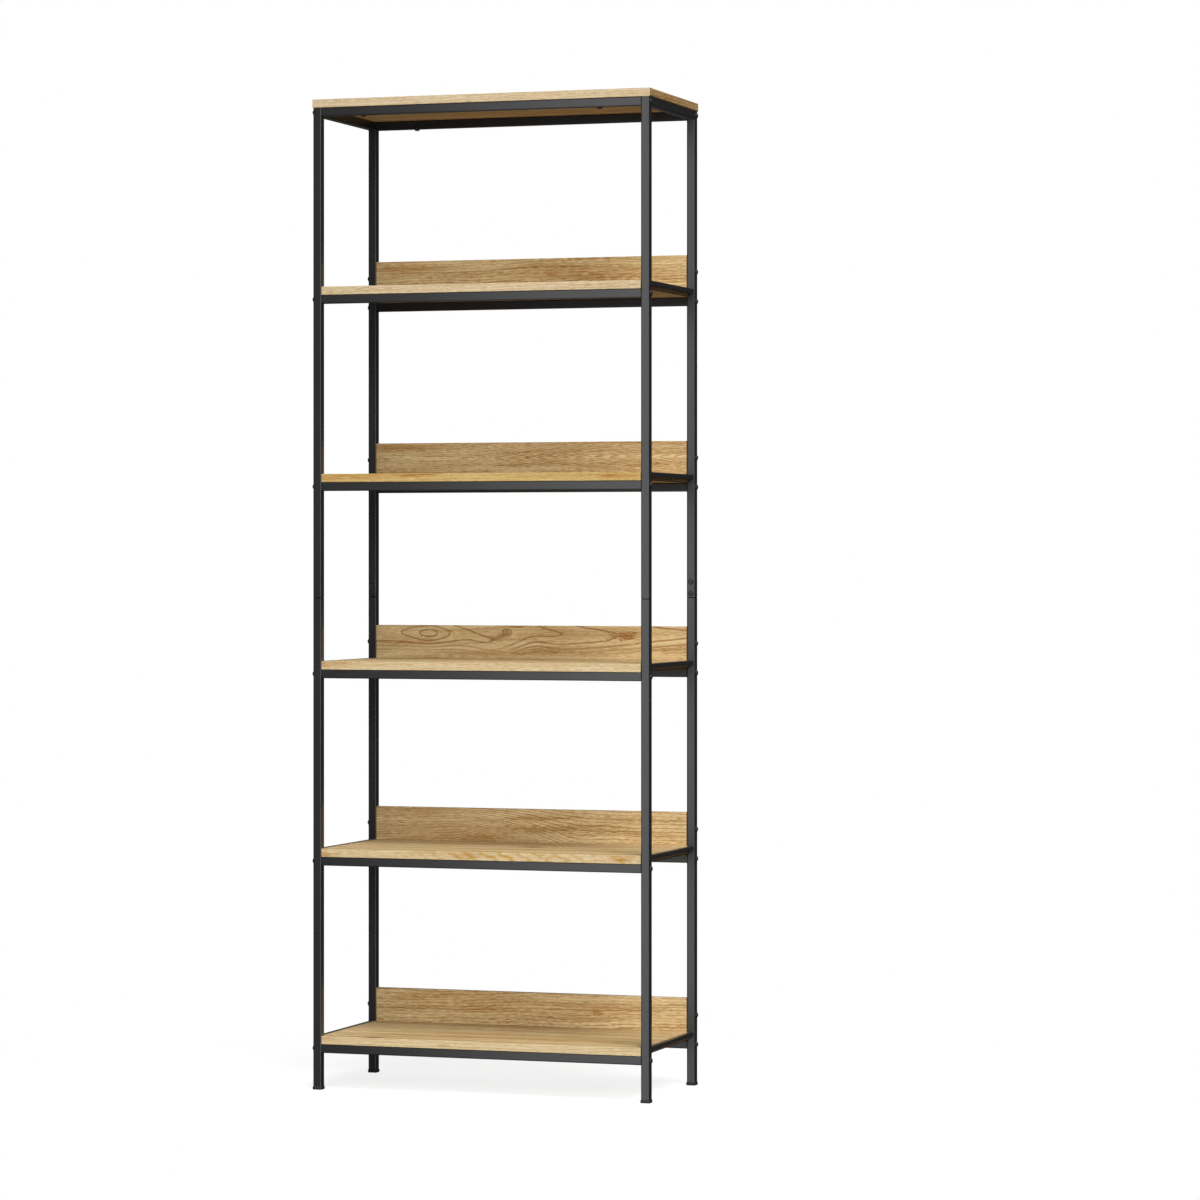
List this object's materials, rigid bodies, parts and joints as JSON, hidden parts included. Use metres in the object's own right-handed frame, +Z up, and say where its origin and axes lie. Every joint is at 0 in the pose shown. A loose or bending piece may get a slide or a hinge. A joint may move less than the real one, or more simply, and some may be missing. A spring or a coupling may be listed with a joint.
{
  "type": "display bookshelf",
  "caption": "Tall open display bookshelf: a slim black square-tube steel frame carrying light oak shelves with low backboards under an oak top panel.",
  "frame": {"origin": "on the floor under the middle of the frame, at the centre of the box's bottom", "axes": "+Z up, +X to the right seen from the front, +Y to the back, where the backboards are"},
  "size_m": [0.6456, 0.3004, 1.8],
  "materials": {
    "frame_paint": "satin charcoal powder coat",
    "oak": "matt light oak surface with fine straight grain",
    "screw_black": "black screw finish, slightly glossier than the frame",
    "foot_plastic": "black moulded plastic",
    "bare_steel": "bare steel, hidden inside the tubes"
  },
  "bodies": {
    "root": {"top_panel": "oak", "shelf_board_1": "oak", "backboard_1": "oak", "front_rail_1": "frame_paint", "rear_rail_1": "frame_paint", "left_side_bar_1": "frame_paint", "right_side_bar_1": "frame_paint", "shelf_board_2": "oak", "backboard_2": "oak", "front_rail_2": "frame_paint", "rear_rail_2": "frame_paint", "left_side_bar_2": "frame_paint", "right_side_bar_2": "frame_paint", "shelf_board_3": "oak", "backboard_3": "oak", "front_rail_3": "frame_paint", "rear_rail_3": "frame_paint", "left_side_bar_3": "frame_paint", "right_side_bar_3": "frame_paint", "shelf_board_4": "oak", "backboard_4": "oak", "front_rail_4": "frame_paint", "rear_rail_4": "frame_paint", "left_side_bar_4": "frame_paint", "right_side_bar_4": "frame_paint", "shelf_board_5": "oak", "backboard_5": "oak", "front_rail_5": "frame_paint", "rear_rail_5": "frame_paint", "left_side_bar_5": "frame_paint", "right_side_bar_5": "frame_paint", "top_front_rail": "frame_paint", "top_rear_rail": "frame_paint", "top_left_rail": "frame_paint", "left_front_lower_post": "frame_paint", "left_front_upper_post": "frame_paint", "left_front_splice_sleeve": "bare_steel", "left_front_foot_cap": "foot_plastic", "left_rear_lower_post": "frame_paint", "left_rear_upper_post": "frame_paint", "left_rear_splice_sleeve": "bare_steel", "left_rear_foot_cap": "foot_plastic", "top_right_rail": "frame_paint", "right_front_lower_post": "frame_paint", "right_front_upper_post": "frame_paint", "right_front_splice_sleeve": "bare_steel", "right_front_foot_cap": "foot_plastic", "right_rear_lower_post": "frame_paint", "right_rear_upper_post": "frame_paint", "right_rear_splice_sleeve": "bare_steel", "right_rear_foot_cap": "foot_plastic", "rail_screws": "screw_black", "backboard_screws": "screw_black", "seam_screws": "screw_black", "panel_screws": "screw_black", "rail_end_nuts": "bare_steel"}
  },
  "joints": []
}
